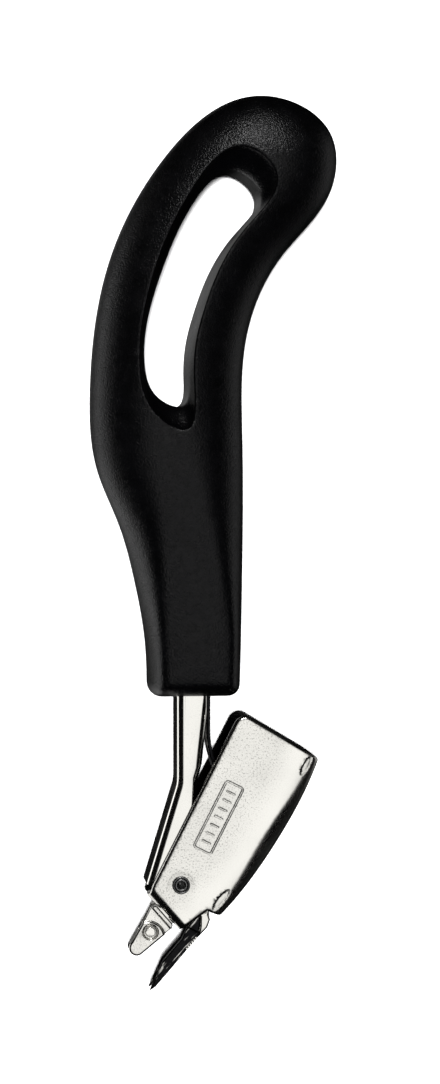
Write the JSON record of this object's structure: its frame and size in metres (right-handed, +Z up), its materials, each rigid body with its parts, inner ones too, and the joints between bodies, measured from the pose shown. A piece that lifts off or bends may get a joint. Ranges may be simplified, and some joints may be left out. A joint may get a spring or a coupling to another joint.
{
  "type": "staple remover",
  "caption": "Lever staple remover: looped plastic grip on a bent steel channel, with a forked blade that closes against a beak in a sprung rocker head.",
  "frame": {"origin": "centre of the footprint of the tool lying on its side, on the surface it lies on", "axes": "+Y from the jaws to the loop end of the handle, +X towards the head's curved back, +Z up, along the pivot rivet"},
  "size_m": [0.0502, 0.1814, 0.022],
  "materials": {
    "grip_plastic": "fine moulded grain",
    "plated_steel": "bright nickel plate",
    "cover_steel": "satin nickel plate, pebbled",
    "jaw_steel": "satin nickel plate",
    "blade_steel": "hardened, blackened",
    "spring_steel": "blued",
    "rivet_steel": "blackened"
  },
  "bodies": {
    "lever": {"handle": "grip_plastic", "shank": "plated_steel", "return_spring": "spring_steel", "fork_blade": "blade_steel", "fork_pins": "plated_steel"},
    "head": {"head_cover": "cover_steel", "upper_jaw": "jaw_steel", "jaw_pin": "plated_steel", "pivot_rivet": "rivet_steel", "pivot_spacer": "plated_steel"}
  },
  "joints": [
    {"name": "head_pivot", "type": "hinge", "parent": "lever", "child": "head", "pos_m": [-0.00721, -0.06868, 0.011], "axis": [0, 0, 1], "range_deg": [0, 15.2], "stiffness_Nm_per_rad": 0.5, "springref_deg": -17.19, "deforming": ["return_spring"]}
  ]
}
